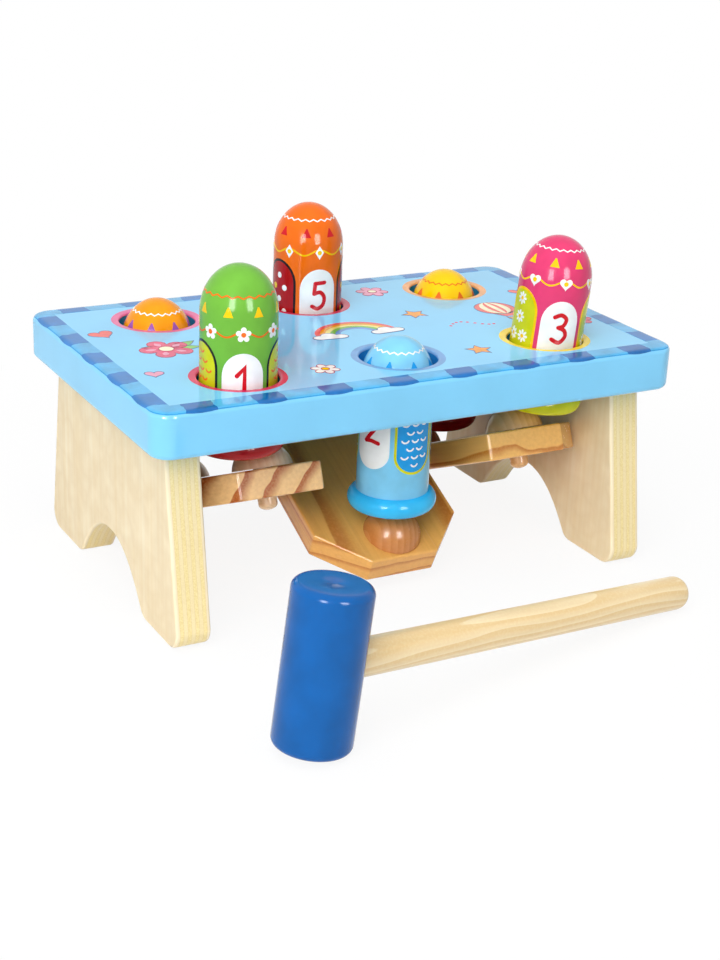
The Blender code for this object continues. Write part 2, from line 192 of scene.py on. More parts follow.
# Colours, as seen, in 0 to 255
BLACK = (24, 22, 26)
WHITE = (250, 250, 248)
CREAM = (252, 240, 200)
RED = (212, 16, 30)
DEEP_RED = (176, 20, 26)
PINK = (224, 60, 112)
ROSE = (220, 72, 112)
PALE_ROSE = (232, 150, 180)
ORANGE = (240, 108, 14)
AMBER = (247, 154, 6)
YELLOW = (250, 202, 0)
LIME = (210, 212, 20)
GREEN = (112, 180, 60)
SKY = (128, 204, 240)
BLUE = (20, 158, 232)
SLATE = (104, 150, 214)
VIOLET = (160, 84, 180)
LEAF = (120, 190, 80)
BOARD_BLUE = (126, 206, 247)
HOLE_BLUE = (40, 140, 205)
BAND_BLUE = (78, 172, 222)
# The band's ink on the rounded edge, drawn deeper as a painted reflection difference: it looks like this where
# the top's reflection fades
BAND_EDGE_WITHOUT_GLARE = (30, 146, 208)
SQUARE_BLUE = (8, 116, 190)
FRONT_SQUARE = (0, 100, 172)
CORAL = (232, 92, 84)
DEEP_ROSE = (170, 46, 84)
FINE_LINE = (84, 96, 140)
MALLET_BLUE = (8, 92, 166)
BRIGHT_SKY = (56, 194, 255)
BASKET = (206, 150, 84)
PALE_YELLOW = (250, 226, 120)

# Each peg: its number, the way its badge faces, how far its paint is shifted up, its inks and motifs, and the
# ink of the ring round its hole
LOOK_PARTS = "number facing rise slot body foot panel rim marks mark crown zigzag belt wave ring"
Look = namedtuple("Look", LOOK_PARTS)
PEGS = {
    ("left", "front"): Look("1", -108, -6.5, "peg_green", GREEN, DEEP_RED, LIME, BLACK, "scales", ORANGE,
                            YELLOW, ORANGE, "flowers", ORANGE, (214, 40, 90)),
    ("middle", "front"): Look("2", -158, 0.0, "peg_sky", SKY, BRIGHT_SKY, BLUE, LIME, "scales", WHITE,
                              BLUE, WHITE, "dots", BLUE, (112, 162, 214)),
    ("right", "front"): Look("3", -108, 0.0, "peg_pink", PINK, LIME, LIME, YELLOW, "daisies", WHITE,
                             YELLOW, WHITE, "hearts", YELLOW, (244, 214, 50)),
    ("left", "back"): Look("4", -100, 0.0, "peg_orange", AMBER, VIOLET, VIOLET, WHITE, "dots", WHITE,
                           VIOLET, WHITE, "dots", VIOLET, (226, 112, 160)),
    ("middle", "back"): Look("5", -98, -1.5, "peg_red_orange", ORANGE, DEEP_RED, DEEP_RED, BLACK, "dots",
                             WHITE, RED, WHITE, "diamonds", YELLOW, (204, 50, 84)),
    ("right", "back"): Look("6", -110, 0.0, "peg_yellow", YELLOW, DEEP_RED, RED, DEEP_RED, "scales", WHITE,
                            ORANGE, ORANGE, "flowers", RED, (236, 170, 110)),
}

# Strokes of the numbers, in millimetres about their middle, and the numbers that keep their corners
STROKES = {
    "1": ([(-2.4, 2.8), (0.6, 6.0), (0.5, -6.0)],),
    "2": ([(-3.0, 3.4), (-1.4, 5.6), (1.2, 5.9), (2.8, 4.0), (1.8, 0.8), (-0.6, -2.4), (-3.0, -5.5)],
          [(-3.0, -5.5), (0.0, -5.1), (3.4, -5.7)]),
    "3": ([(-2.6, 4.9), (0.2, 6.0), (2.6, 4.2), (1.6, 1.4), (-0.6, 0.5)],
          [(-0.6, 0.5), (2.2, -0.6), (3.0, -3.2), (0.6, -6.0), (-2.8, -4.8)]),
    "4": ([(1.2, 6.0), (-3.0, -1.4), (3.4, -1.4)], [(1.5, 2.0), (1.3, -6.0)]),
    "5": ([(2.8, 5.8), (-1.6, 5.5)], [(-1.6, 5.5), (-2.0, 0.8)],
          [(-2.0, 0.8), (0.8, 1.4), (2.8, -1.0), (2.2, -4.4), (-0.4, -6.0), (-2.8, -4.9)]),
    "6": ([(2.0, 5.9), (-1.0, 3.6), (-2.7, -0.8), (-2.2, -4.2), (0.0, -6.0), (2.4, -4.2), (2.2, -1.4),
           (0.0, -0.2), (-2.2, -1.6)],),
}
CORNERED = "14"

# Each wood: pale and dark colour, the core of its growth rings, their spacing, the dark share of each, the
# grain's axis, roughness, how far the rings wander, gloss coat, and the colour of its edges, paler for worn
# varnish and as a painted highlight where rounded edges catch the light
Wood = namedtuple("Wood", "pale dark core spacing band along rough flame coat edge",
                  defaults=(1, 0.20, 0.22, 0.25, None))
# Pale colour of the pine plates' edges: worn varnish, and a painted highlight where the rounded edges catch
# the light
PINE_WEAR_AND_HIGHLIGHT = (238, 204, 150)
BEECH = ((0.03, 0.0, 0.01), 0.0028, 0.5)
WOODS = {
    "pine_left": Wood((250, 202, 138), (176, 88, 28), (0.024, 0.0, -0.058), 0.0118, 0.32, edge=PINE_WEAR_AND_HIGHLIGHT),
    "pine_middle": Wood((240, 178, 92), (204, 126, 52), (0.008, 0.0, -0.120), 0.0065, 0.22, edge=PINE_WEAR_AND_HIGHLIGHT),
    "pine_right": Wood((250, 190, 104), (206, 124, 48), (0.060, 0.0, -0.1207), 0.0200, 0.12, edge=PINE_WEAR_AND_HIGHLIGHT),
    "beech_left": Wood((240, 206, 168), (232, 194, 152), *BEECH, coat=0.10),
    "beech_middle": Wood((206, 138, 78), (196, 124, 64), *BEECH, coat=0.10),
    "beech_right": Wood((230, 182, 126), (220, 168, 110), *BEECH, coat=0.10),
    "handle_wood": Wood((248, 226, 184), (236, 204, 148), (0.016, 0.006, 0.0), 0.0024, 0.6, 2, 0.30, 1.1),
    "dowel_birch": Wood((226, 196, 150), (200, 162, 112), (0.0, 0.02, 0.0), 0.003, 0.5, 2, 0.4),
}


# Materials

def linear(colour):
    """Linear colour with alpha, from one as seen."""
    values = [share / 12.92 if share <= 0.04045 else ((share + 0.055) / 1.055) ** 2.4
              for share in (part / 255 for part in colour)]
    return (*values, 1.0)


def shade(colour, factor):
    return tuple(min(255.0, part * factor) for part in colour)


class Nodes:
    """A node tree being put together. Inputs are numbers, colours as seen, or the outputs of other nodes."""

    def __init__(self, tree):
        self.tree = tree

    def feed(self, node, inputs):
        for key, value in inputs.items():
            socket = node.inputs[key]
            if isinstance(value, bpy.types.NodeSocket):
                self.tree.links.new(value, socket)
            else:
                socket.default_value = linear(value) if socket.type == "RGBA" else value

    def add(self, kind, inputs=None, output=0, **settings):
        """Add a node, and give one of its outputs."""
        node = self.tree.nodes.new(f"ShaderNode{kind}")
        for key, value in settings.items():
            setattr(node, key, value)
        self.feed(node, inputs or {})
        return node.outputs[output]

    def math(self, operation, first, second=0.0):
        return self.add("Math", {0: first, 1: second}, operation=operation)

    def spread(self, value, low, high, least=0.0, most=1.0):
        """A value's range from low to high, turned into least to most."""
        return self.add("MapRange", {"Value": value, "From Min": low, "From Max": high,
                                     "To Min": least, "To Max": most})

    def seen_directly(self):
        """1 for rays that show a surface itself or in a reflection, 0 for those that only carry light."""
        path = self.add("LightPath").node.outputs
        rays = path["Is Camera Ray"]
        for kind in ("Is Glossy Ray", "Is Transmission Ray"):
            rays = self.math("MAXIMUM", rays, path[kind])
        return rays


class Finish(Nodes):
    """A material, whose pattern lies in the piece's own frame or in the one that it was turned in."""

    def __init__(self, name, turned_in=None):
        self.material = bpy.data.materials.new(name)
        self.material.use_nodes = True
        super().__init__(self.material.node_tree)
        self.shader = self.tree.nodes["Principled BSDF"]
        self.place = self.add("TexCoord", output="Object")
        if turned_in:
            self.place = self.add("Mapping", {"Vector": self.place, "Location": turned_in.translation,
                                              "Rotation": turned_in.to_euler()}, vector_type="TEXTURE")

    def axis(self, number):
        """X, Y or Z of the place on the piece."""
        return self.add("SeparateXYZ", {0: self.place}, output=number)

    def noise(self, scale, detail=2.0):
        """Cloudy noise of one scale, or of a scale for each axis."""
        place = self.place
        if not isinstance(scale, float):
            place, scale = self.add("Mapping", {"Vector": place, "Scale": scale}), 1.0
        return self.add("TexNoise", {"Scale": scale, "Detail": detail, "Vector": place}, output="Fac")

    def mix(self, factor, first, second):
        return self.add("Mix", {0: factor, 6: first, 7: second}, output=2, data_type="RGBA")

    def ramp(self, factor, stops):
        tone = self.add("ValToRGB", {0: factor})
        elements = tone.node.color_ramp.elements
        for count, (spot, colour) in enumerate(stops):
            element = elements[count] if count < 2 else elements.new(spot)
            element.position = spot
            element.color = linear(colour)
        return tone

    def bump(self, height, strength, distance):
        return self.add("Bump", {"Height": height, "Strength": strength, "Distance": distance})

    def finish(self, colour, roughness, normal, **others):
        """Feed the shader. Other inputs go by their names with an underscore for each space."""
        self.feed(self.shader, {"Base Color": colour, "Roughness": roughness, "Normal": normal})
        self.feed(self.shader, {key.replace("_", " "): value for key, value in others.items()})
        return self.material


def gloss_paint(name, colour, turned_in=None):
    """Glossy paint on turned wood: a slightly uneven coat over faint lathe rings."""
    finish = Finish(name, turned_in)
    cloud = finish.spread(finish.noise(70.0, 3.0), 0.35, 0.65)
    rings = finish.add("TexNoise", {"W": finish.axis(2), "Scale": 1200.0}, noise_dimensions="1D")
    skin = finish.math("ADD", finish.math("MULTIPLY", rings, 0.4), finish.noise(300.0))
    return finish.finish(
        finish.mix(cloud, shade(colour, 0.94), shade(colour, 1.02)),
        finish.spread(cloud, 0.0, 1.0, 0.10, 0.16),
        finish.bump(skin, 0.15, 0.0001), Specular_IOR_Level=0.22)


def lacquer(name, colour):
    """Thick gloss lacquer on a flat board, with a slow ripple that bends its reflections."""
    finish = Finish(name)
    cloud = finish.spread(finish.noise(28.0, 4.0), 0.35, 0.65)
    ripple = finish.math("ADD", finish.noise(45.0, 1.0), finish.math("MULTIPLY", finish.noise(420.0), 0.05))
    return finish.finish(
        finish.mix(cloud, shade(colour, 0.98), shade(colour, 1.01)),
        finish.spread(finish.noise(160.0), 0.3, 0.7, 0.05, 0.09),
        finish.bump(ripple, 0.30, 0.00015))


def ink(name, colour):
    """Print under the board's lacquer, with the pooled and thinned patches of a brushed wash."""
    finish = Finish(name)
    wash = finish.spread(finish.noise(110.0, 5.0), 0.3, 0.7)
    fleck = finish.spread(finish.noise(700.0, 3.0), 0.35, 0.65)
    tone = finish.mix(wash, shade(colour, 0.92), shade(colour, 1.07))
    return finish.finish(
        finish.mix(finish.math("MULTIPLY", fleck, 0.15), tone, shade(colour, 1.14)),
        finish.spread(wash, 0.0, 1.0, 0.05, 0.09),
        finish.bump(finish.noise(45.0, 1.0), 0.30, 0.00015), Specular_IOR_Level=0.42)


def plywood(name):
    """Pale varnished plywood standing on edge: plies across X, and the face veneer's grain up Z."""
    finish = Finish(name)
    x = finish.axis(0)
    wander = finish.spread(finish.noise(60.0), 0.3, 0.7, -0.00012, 0.00012)
    count = finish.math("DIVIDE", finish.math("ADD", finish.math("ADD", x, wander), HALF_PLYWOOD), PLY)
    stripe = finish.spread(finish.math("SINE", finish.math("MULTIPLY", count, pi)), -0.3, 0.3, 0.0, 0.45)
    along = finish.math("MAXIMUM", stripe, finish.spread(finish.math("ABSOLUTE", x), *OUTER_PLY))
    glue = finish.spread(finish.math("PINGPONG", count, 0.5), 0.0, 0.10, 1.0, 0.0)
    streak = finish.noise((500.0, 420.0, 10.0), 4.0)
    broad = finish.noise((120.0, 70.0, 4.0))
    pores = finish.noise(1600.0)
    face = finish.ramp(streak, [(0.30, (243, 225, 187)), (0.50, (246, 230, 196)), (0.72, (248, 235, 204))])
    face = finish.mix(finish.spread(broad, 0.35, 0.70, 0.0, 0.22), face, (240, 219, 176))
    cross = finish.ramp(pores, [(0.30, (236, 214, 150)), (0.70, (248, 230, 170))])
    wood = finish.mix(along, cross, face)
    height = finish.math("ADD", streak, finish.math("MULTIPLY", pores, 0.3))
    return finish.finish(
        finish.mix(finish.math("MULTIPLY", glue, 0.30), wood, (206, 172, 112)),
        finish.spread(streak, 0.3, 0.7, 0.44, 0.34),
        finish.bump(height, 0.25, 0.00015), Specular_IOR_Level=0.3)


def grained_wood(name, turned_in=None):
    """Varnished wood with growth rings about a core line."""
    wood = WOODS[name]
    finish = Finish(name, turned_in)

    def scales(along, across):
        return [along if axis == wood.along else across for axis in range(3)]

    warp = finish.spread(finish.noise(scales(8.0, 45.0)), 0.25, 0.75, -wood.flame, wood.flame)
    shifted = finish.add("VectorMath", {0: finish.place, 1: wood.core}, operation="SUBTRACT")
    flat = finish.add("VectorMath", {0: shifted, 1: scales(0.0, 1.0)}, operation="MULTIPLY")
    reach = finish.add("VectorMath", {0: flat}, output="Value", operation="LENGTH")
    ring = finish.math("FRACT", finish.math("ADD", finish.math("DIVIDE", reach, wood.spacing), warp))
    fibre = finish.noise(scales(14.0, 620.0), 4.0)
    tone = finish.ramp(ring, [(0.0, wood.pale), (1.0, wood.pale), (1.0 - 1.6 * wood.band, wood.pale),
                              (1.0 - 0.5 * wood.band, wood.dark), (0.97, wood.dark)])
    tone = finish.mix(finish.spread(fibre, 0.35, 0.65, 0.18, 0.0), tone, shade(wood.dark, 0.9))
    mottle = finish.spread(finish.noise(900.0, 3.0), 0.45, 0.70, 0.0, 0.16)
    tone = finish.mix(mottle, tone, shade(wood.pale, 1.10))
    # Convex edges are mixed towards the edge colour: worn varnish there, and a painted highlight of the light
    # that rounded edges catch
    if wood.edge:
        wear_and_highlight = finish.spread(finish.add("NewGeometry", output="Pointiness"), 0.53, 0.60, 0.0, 0.6)
        tone = finish.mix(wear_and_highlight, tone, wood.edge)
    return finish.finish(
        tone, finish.spread(fibre, 0.3, 0.7, wood.rough + 0.08, wood.rough),
        finish.bump(fibre, 0.18, 0.00012), Specular_IOR_Level=0.35, Coat_Weight=wood.coat, Coat_Roughness=0.06)


def steel(name):
    """Drawn steel, with fine lines along X."""
    finish = Finish(name)
    draw = finish.noise((20.0, 2500.0, 2500.0), 3.0)
    return finish.finish(
        finish.ramp(draw, [(0.3, (168, 168, 170)), (0.7, (206, 206, 208))]),
        finish.spread(draw, 0.3, 0.7, 0.30, 0.42),
        finish.bump(draw, 0.2, 0.00005), Metallic=1.0)


PAINTS = {}


def paint(colour, maker=gloss_paint):
    """The paint, ink or lacquer of a colour, made once."""
    key = f"{maker.__name__}_{'_'.join(str(part) for part in colour)}"
    if key not in PAINTS:
        PAINTS[key] = maker(key, colour)
    return PAINTS[key]


# Shapes

def arc(centre, radii, start, end, steps):
    """Points of an elliptical arc about a centre, from one angle to the other, in degrees."""
    points = []
    for step in range(steps + 1):
        angle = radians(start + (end - start) * step / steps)
        points.append((centre[0] + radii[0] * cos(angle), centre[1] + radii[1] * sin(angle)))
    return points


def walked(outline):
    """Each corner of a closed outline, between the one before it and the one after it."""
    spots = [Vector(corner) for corner in outline]
    return zip(spots[-1:] + spots[:-1], spots, spots[1:] + spots[:1])


def linked(name, data, place=None):
    """A new object in the scene."""
    thing = bpy.data.objects.new(name, data)
    bpy.context.scene.collection.objects.link(thing)
    if place:
        thing.matrix_world = place
    return thing


def add_piece(name, mesh, body, materials, node=None, place=None):
    """Put a piece on a body, in the stead of a node's solid where one is named."""
    piece = linked(name, mesh, place)
    for material in materials:
        mesh.materials.append(material)
    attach(piece, body)
    if node:
        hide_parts(node)
    return piece


def to_mesh(form, name):
    mesh = bpy.data.meshes.new(name)
    form.to_mesh(mesh)
    form.free()
    mesh.shade_smooth()
    mesh.set_sharp_from_angle(angle=SHARP)
    return mesh


def lathe(name, profile, closed=False):
    """A mesh turned about Z, from a profile of (radius, height) from top to bottom. A closed profile is a
    loop off the axis."""
    form = bmesh.new()
    loops = []
    for radius, height in profile:
        angles = [2 * pi * step / ROUND_STEPS for step in range(1 if radius < ON_AXIS else ROUND_STEPS)]
        loops.append([form.verts.new((radius * cos(angle), radius * sin(angle), height))
                      for angle in angles])
    for upper, lower in zip(loops, loops[1:] + loops[:1] if closed else loops[1:]):
        for step in range(ROUND_STEPS):
            following = (step + 1) % ROUND_STEPS
            corners = [upper[step % len(upper)], lower[step % len(lower)]]
            if len(lower) > 1:
                corners.append(lower[following])
            if len(upper) > 1:
                corners.append(upper[following])
            form.faces.new(corners)
    return to_mesh(form, name)


def filleted(outline, radius, steps=4):
    """An outline with its sharp corners rounded."""
    rounded = []
    for before, spot, after in walked(outline):
        ways = (before - spot).normalized(), (after - spot).normalized()
        half = ways[0].angle(ways[1]) / 2
        if pi - 2 * half < SHARP:
            rounded.append(tuple(spot))
            continue
        centre = spot + (ways[0] + ways[1]).normalized() * radius / sin(half)
        start, end = (spot + way * radius / tan(half) - centre for way in ways)
        for step in range(steps + 1):
            rounded.append(tuple(centre + start.lerp(end, step / steps).normalized() * radius))
    return rounded


def drawn_in(outline, inset):
    """An anticlockwise outline moved inwards, with its corners mitred."""
    moved = []
    for before, spot, after in walked(outline):
        way = (spot - before).normalized()
        middle = (way + (after - spot).normalized()).normalized()
        moved.append(tuple(spot + Vector((-middle.y, middle.x)) * inset / middle.dot(way)))
    return moved


def slab(name, outline, holes, thickness, edge_radius, rim_radius):
    """A flat mesh with rounded edges, and round holes whose walls are of the second material. Each hole is a
    centre and a radius."""
    if sum(before.y * spot.x - before.x * spot.y for before, spot, after in walked(outline)) > 0:
        outline = outline[::-1]
    form = bmesh.new()
    quarter = [(1 - x, 1 - y) for x, y in arc((0.0, 0.0), (1.0, 1.0), 90, 0, EDGE_STEPS)]
    borders = ([], [])
    for hole in [None] + holes:
        bend = rim_radius if hole else edge_radius
        rows = []
        for way, shares in ((1, quarter), (-1, quarter[::-1])):
            for inset, drop in shares:
                if hole:
                    reach = hole[1] + inset * bend
                    loop = arc(hole[0], (reach, reach), 0, 360, ROUND_STEPS)[:-1]
                else:
                    loop = drawn_in(outline, inset * bend)
                height = way * (thickness / 2 - drop * bend)
                rows.append([form.verts.new((*spot, height)) for spot in loop])
        for upper, lower in zip(rows, rows[1:]):
            for count, vertex in enumerate(upper):
                after = (count + 1) % len(upper)
                face = form.faces.new((vertex, upper[after], lower[after], lower[count]))
                face.material_index = int(bool(hole))
        for border, row in zip(borders, (rows[0], rows[-1])):
            border += [form.edges.get((row[count - 1], row[count])) for count in range(len(row))]
    for border in borders:
        bmesh.ops.triangle_fill(form, use_beauty=True, edges=border)
    bmesh.ops.recalc_face_normals(form, faces=form.faces)
    return to_mesh(form, name)


def even_normals(piece):
    """Keep flat faces flat up to their rounded edges."""
    piece.modifiers.new("flat_faces", "WEIGHTED_NORMAL").keep_sharp = True


def smoothed(points, steps=5):
    """A smooth line through points."""
    spots = [Vector(point) for point in points]
    line = []
    for before, start, end, after in zip(spots[:1] + spots, spots, spots[1:], spots[2:] + spots[-1:]):
        for share in (step / steps for step in range(steps)):
            line.append(tuple(0.5 * (2 * start + (end - before) * share
                                     + (2 * before - 5 * start + 4 * end - after) * share ** 2
                                     + (3 * start - before - 3 * end + after) * share ** 3)))
    return line + [tuple(points[-1])]


def waver(place):
    """A hand's unevenness between about -1 and 1, for a place along a painted line."""
    return 0.6 * sin(place / 7.0) + 0.4 * sin(place / 2.9 + 1.7)


class Print:
    """Thin shapes of one colour, drawn in millimetres and then laid on a surface."""

    def __init__(self):
        self.form = bmesh.new()

    def fill(self, outline, at=(0.0, 0.0), squeeze=1.0, rise=0.0):
        """A filled outline. squeeze widens it where the surface is narrower than its sheet, and rise lifts it
        by a share of a layer, to keep shapes that cross apart."""
        corners = [self.form.verts.new((at[0] + squeeze * x, at[1] + y, rise)) for x, y in outline]
        face = self.form.faces.new(corners)
        face.normal_update()
        if face.normal.z < 0:
            face.normal_flip()

    def grid(self, rows, at=(0.0, 0.0), rise=0.0):
        """The patches between rows of as many points."""
        for first, second in zip(rows, rows[1:]):
            for count in range(len(first) - 1):
                self.fill([first[count], second[count], second[count + 1], first[count + 1]], at, rise=rise)

    def line(self, points, width, at=(0.0, 0.0), rise=0.0, closed=False):
        """A stroke of even width along points, with mitred corners, and round ends where it is open."""
        spots = [Vector(point) for point in points]
        last = len(spots) - 1
        left, right = [], []
        for count, spot in enumerate(spots):
            before = spots[count - 1] if closed or count else spot
            after = spots[(count + 1) % len(spots)] if closed or count < last else spot
            ways = [way.normalized() for way in (spot - before, after - spot) if way.length > 0]
            middle = (ways[0] + ways[-1]).normalized()
            side = Vector((-middle.y, middle.x)) * (width / 2 / max(middle.dot(ways[0]), 0.5))
            left.append(spot + side)
            right.append(spot - side)
        if closed:
            left.append(left[0])
            right.append(right[0])
        self.grid([left, right], at, rise)
        for end, half_turn in () if closed else ((0, 0), (last, 180)):
            way = left[end] - right[end]
            start = degrees(atan2(way.y, way.x)) + half_turn
            self.fill(arc(spots[end], (width / 2, width / 2), start, start + 180, 6), at, rise=rise)

    def lay(self, name, sheet, layer, material, body, slot):
        """Lay the shapes on a sheet, which turns (x, y, lift) into a place, and give them a thickness."""
        form = self.form
        bmesh.ops.remove_doubles(form, verts=form.verts, dist=0.001)
        sheet.slice(form)
        bmesh.ops.triangulate(form, faces=form.faces)
        rim = [edge for edge in form.edges if len(edge.link_faces) == 1]
        under = {vertex: form.verts.new(vertex.co) for vertex in list(form.verts)}
        for face in list(form.faces):
            form.faces.new([under[vertex] for vertex in reversed(face.verts)])
        for edge in rim:
            loop = edge.link_loops[0]
            first, second = loop.vert, loop.link_loop_next.vert
            form.faces.new([second, first, under[first], under[second]])
        for vertex, lower in under.items():
            x, y, rise = vertex.co.x * MM, vertex.co.y * MM, vertex.co.z
            vertex.co = sheet.place(x, y, (layer + rise) * LAYER)
            lower.co = sheet.place(x, y, -LAYER_SEAT)
        add_piece(name, to_mesh(form, name), body, [material])


class Pens:
    """The shapes printed on one sheet, kept apart by part, ink and layer."""

    def __init__(self, prefix, sheet, maker, body, slot):
        self.prefix, self.sheet, self.maker, self.body, self.slot = prefix, sheet, maker, body, slot
        self.shapes = {}

    def pen(self, colour, layer, part=""):
        return self.shapes.setdefault((part, colour, layer), Print())

    def draw(self, colour, layer, outline, edge=None):
        """A filled shape, with a thin darker line on its edge where edge gives that line's ink."""
        self.pen(colour, layer).fill(outline)
        if edge:
            self.pen(edge, layer + 1).line(outline, FINE_STROKE, closed=True)

    def lay(self):
        """Lay each pen's shapes, as a piece named after its part or else numbered."""
        for count, ((part, colour, layer), shapes) in enumerate(self.shapes.items()):
            if shapes.form.verts:
                shapes.lay(f"{self.prefix}_{part or count}", self.sheet, layer, paint(colour, self.maker),
                           self.body, self.slot)


def slice_form(form, axis, lines):
    """Cut shapes along lines of even X or Y, so that they can bend there."""
    for place in lines:
        spot, normal = Vector((0.0, 0.0, 0.0)), Vector((0.0, 0.0, 0.0))
        spot[axis] = place
        normal[axis] = 1.0
        geometry = form.verts[:] + form.edges[:] + form.faces[:]
        bmesh.ops.bisect_plane(form, geom=geometry, dist=0.0005, plane_co=spot, plane_no=normal)


class BoardSheet:
    """The board's top with its rounded edge, with X and Y from its middle."""

    def __init__(self):
        low, high = (Vector(corner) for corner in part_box("top_board"))
        self.middle = Vector(((low.x + high.x) / 2, (low.y + high.y) / 2, high.z))
        self.half = Vector(((high.x - low.x) / 2, (high.y - low.y) / 2))

    def slice(self, form):
        """The board's shapes come with all the corners that they need."""

    def place(self, x, y, lift):
        """The spot at a lift over (x, y), down round the edge where it lies there."""
        inner = self.half - Vector((BOARD_CORNER_RADIUS, BOARD_CORNER_RADIUS))
        past = Vector((abs(x) - inner.x, abs(y) - inner.y))
        if past.x > 0 and past.y > 0:
            inset, outward = BOARD_CORNER_RADIUS - past.length, past.normalized()
        else:
            inset = BOARD_CORNER_RADIUS - max(past.x, past.y)
            outward = Vector((1.0, 0.0)) if past.x > past.y else Vector((0.0, 1.0))
        sine = min(max(0.0, 1 - inset / BOARD_EDGE_RADIUS), 1.0)
        cosine = sqrt(1 - sine ** 2)
        away = Vector((copysign(outward.x, x), copysign(outward.y, y))) * sine * lift
        drop = BOARD_EDGE_RADIUS * (1 - cosine)
        return self.middle + Vector((x + away.x, y + away.y, lift * cosine - drop))


class PegSheet:
    """A peg's side and dome rolled out: X goes round from where its badge faces, Y up along its outline."""

    def __init__(self, matrix, facing):
        self.matrix = matrix
        self.facing = radians(facing)
        dome = arc((0.0, PEG_LENGTH - DOME_HEIGHT), (PEG_RADIUS, DOME_HEIGHT), 0, 90, 90)
        self.rows = [(PEG_LENGTH - DOME_HEIGHT, dome[0])]
        for before, after in zip(dome, dome[1:]):
            self.rows.append((self.rows[-1][0] + dist(before, after), after))

    def slice(self, form):
        """Cut shapes so that they bend round the side and over the dome."""
        values = [[vertex.co[axis] for vertex in form.verts] for axis in (0, 1)]
        lowest, highest = floor(min(values[0]) / SLICE), ceil(max(values[0]) / SLICE)
        slice_form(form, 0, [count * SLICE for count in range(lowest + 1, highest)])
        start = (PEG_LENGTH - DOME_HEIGHT) / MM
        if max(values[1]) > start:
            rows = ceil((max(values[1]) - start) / SLICE)
            slice_form(form, 1, [start + count * SLICE for count in range(rows)])

    def spot(self, y):
        """Radius, height and the outward direction of both, that far up along the outline."""
        if y <= self.rows[0][0]:
            return PEG_RADIUS, y, 1.0, 0.0
        for (low, start), (high, end) in zip(self.rows, self.rows[1:]):
            if y <= high:
                share = (y - low) / (high - low)
                run, rise = end[0] - start[0], end[1] - start[1]
                length = hypot(run, rise)
                return start[0] + share * run, start[1] + share * rise, rise / length, -run / length
        return 0.0, PEG_LENGTH, 0.0, 1.0

    def place(self, x, y, lift):
        """The spot at a lift over (x, y)."""
        radius, height, outward, upward = self.spot(y)
        angle = self.facing + x / PEG_RADIUS
        radius += lift * outward
        return self.matrix @ Vector((radius * cos(angle), radius * sin(angle), height + lift * upward))


# Motifs, in millimetres

def disc(radius, steps=20):
    return arc((0.0, 0.0), (radius, radius), 0, 360, steps)[:-1]


def turned(outline, degrees, at=(0.0, 0.0)):
    cosine, sine = cos(radians(degrees)), sin(radians(degrees))
    return [(at[0] + x * cosine - y * sine, at[1] + x * sine + y * cosine) for x, y in outline]


def polar(count, reach_at):
    """An outline from how far it reaches at each of its angles."""
    angles = [2 * pi * step / count for step in range(count)]
    return [(reach_at(angle) * sin(angle), reach_at(angle) * cos(angle)) for angle in angles]


def flower(petals, radius, depth=0.45, steps=10):
    """A flower with rounded petals and notches between them."""
    return polar(petals * steps,
                 lambda angle: radius * (1 - depth + depth * abs(cos(petals * angle / 2)) ** 0.7))


def heart(size, steps=28):
    points = []
    for angle in (2 * pi * step / steps for step in range(steps)):
        height = 13 * cos(angle) - 5 * cos(2 * angle) - 2 * cos(3 * angle) - cos(4 * angle)
        points.append((size * sin(angle) ** 3, size * height / 16))
    return points


def star(radius):
    """A star with five points."""
    return polar(10, lambda angle: radius if round(angle * 5 / pi) % 2 == 0 else radius / 2)


def leaf(length, width, steps=8):
    side = [(width / 2 * sin(pi * step / steps), length * step / steps) for step in range(steps + 1)]
    return side + [(-x, y) for x, y in reversed(side[1:-1])]


def cloud(width):
    """A cloud of three bumps on a flat foot."""
    left = arc((-0.28 * width, 0.0), (0.2 * width, 0.16 * width), 270, 90, 8)
    top = arc((0.0, 0.12 * width), (0.22 * width, 0.2 * width), 170, 10, 10)
    right = arc((0.28 * width, 0.0), (0.2 * width, 0.16 * width), 90, -90, 8)
    return left + top + right


def capsule(width, bottom, top):
    """An upright panel with round ends."""
    half = width / 2
    crown = arc((0.0, top - half * 1.15), (half, half * 1.15), 0, 180, 18)
    base = arc((0.0, bottom + half * 0.9), (half, half * 0.9), 180, 360, 18)
    return crown + base


# Board

def hole_places():
    """The middle of each hole, from the board's."""
    return {(column, row): (side * COLUMN_PITCH, way * ROW_PITCH / 2)
            for column, side in COLUMNS.items() for row, way in ROWS.items()}


def rounded_outline(inset):
    """The board's outline drawn in by an inset, anticlockwise from its right end."""
    half_x, half_y = (half * MM - BOARD_CORNER_RADIUS for half in HALF_BOARD)
    corners = ((half_x, half_y), (-half_x, half_y), (-half_x, -half_y), (half_x, -half_y))
    radius = BOARD_CORNER_RADIUS - inset
    outline = []
    for quarter, centre in enumerate(corners):
        outline += arc(centre, (radius, radius), 90 * quarter, 90 * quarter + 90, CORNER_STEPS)
    return outline


def make_board():
    """The drilled board, with darker holes."""
    low, high = (Vector(corner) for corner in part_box("top_board"))
    holes = [(place, HOLE_RADIUS) for place in hole_places().values()]
    mesh = slab("board", rounded_outline(0.0), holes, high.z - low.z, BOARD_EDGE_RADIUS, HOLE_RIM_RADIUS)
    even_normals(add_piece("board", mesh, "bench",
                           [paint(BOARD_BLUE, lacquer), paint(HOLE_BLUE, lacquer)],
                           "top_board", Matrix.Translation((low + high) / 2)))


